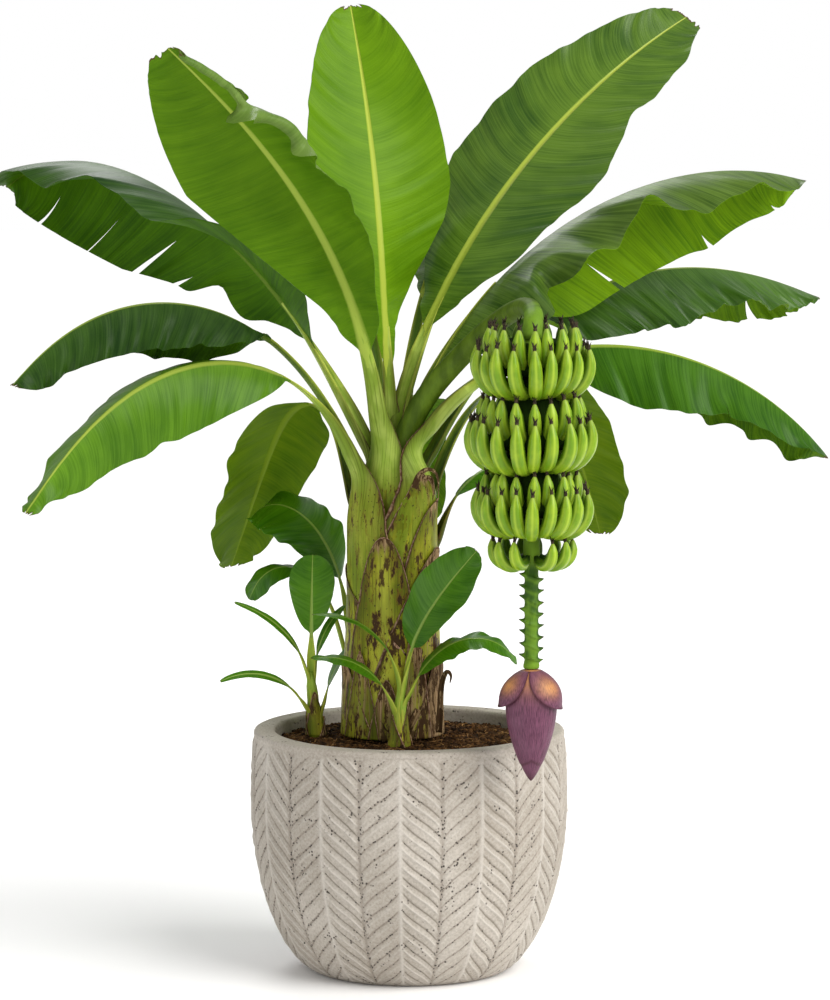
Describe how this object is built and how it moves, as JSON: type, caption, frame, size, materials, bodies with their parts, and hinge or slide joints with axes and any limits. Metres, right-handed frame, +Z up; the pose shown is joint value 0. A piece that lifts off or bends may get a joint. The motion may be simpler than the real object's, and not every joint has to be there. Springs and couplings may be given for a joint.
{
  "type": "potted banana plant",
  "caption": "Fruiting banana plant in a round stone pot with herringbone relief: broad arching leaves, a hanging bunch of green bananas with a purple bud, and young suckers at its foot.",
  "frame": {"origin": "centre of the pot's flat underside, on the floor", "axes": "+Z up, front towards -Y, the fruit bunch hangs towards +X and -Y"},
  "size_m": [1.7379, 1.5276, 1.9471],
  "materials": {
    "pot_stone": "rough cast concrete with fine pits and a raised herringbone pattern",
    "soil": "coarse dark bark mulch and compost",
    "sheath_green": "satin yellow-green leaf sheaths with brown blotches",
    "sheath_dry": "matt papery dead sheath",
    "stalk_green": "satin ribbed green stalk",
    "leaf_green": "satin leaf with a pale midrib and fine side veins",
    "fruit_green": "satin unripe banana skin with dark dried flower ends",
    "bud_purple": "waxy purple bracts with fine lengthwise lines"
  },
  "bodies": {
    "root": {"bract_left": "bud_purple", "bract_right": "bud_purple", "bunch_stalk": "stalk_green", "bunch_stalk_arch": "stalk_green", "bunch_stalk_rise": "stalk_green", "flower_bud": "bud_purple", "hand_1": "fruit_green", "hand_2": "fruit_green", "hand_3": "fruit_green", "hand_4": "fruit_green", "leaf_back_hanging": "leaf_green", "leaf_back_left": "leaf_green", "leaf_back_right": "leaf_green", "leaf_left": "leaf_green", "leaf_left_hanging": "leaf_green", "leaf_left_low": "leaf_green", "leaf_left_middle": "leaf_green", "leaf_right": "leaf_green", "leaf_right_hanging": "leaf_green", "leaf_right_low": "leaf_green", "leaf_right_middle": "leaf_green", "leaf_top": "leaf_green", "leaf_upper_left": "leaf_green", "leaf_upper_right": "leaf_green", "pot": "pot_stone", "potting_soil": "soil", "pseudostem": "sheath_green", "sheath_base_left": "sheath_dry", "sheath_base_right": "sheath_dry", "sheath_front": "sheath_dry", "sheath_right": "sheath_dry", "stalk_back_hanging": "stalk_green", "stalk_back_left": "stalk_green", "stalk_back_right": "stalk_green", "stalk_left": "stalk_green", "stalk_left_hanging": "stalk_green", "stalk_left_low": "stalk_green", "stalk_left_middle": "stalk_green", "stalk_right": "stalk_green", "stalk_right_hanging": "stalk_green", "stalk_right_low": "stalk_green", "stalk_right_middle": "stalk_green", "stalk_top": "stalk_green", "stalk_upper_left": "stalk_green", "stalk_upper_right": "stalk_green", "stem_shoot_leaf": "leaf_green", "sucker_leaf_back_large": "leaf_green", "sucker_leaf_back_small": "leaf_green", "sucker_leaf_front_high": "leaf_green", "sucker_leaf_front_low": "leaf_green", "sucker_leaf_front_oval": "leaf_green", "sucker_leaf_front_right": "leaf_green", "sucker_leaf_left_dark": "leaf_green", "sucker_leaf_left_high": "leaf_green", "sucker_leaf_left_low": "leaf_green", "sucker_leaf_left_oval": "leaf_green", "sucker_leaf_left_small": "leaf_green", "sucker_stem_back": "stalk_green", "sucker_stem_front": "stalk_green", "sucker_stem_left": "stalk_green"}
  },
  "joints": []
}
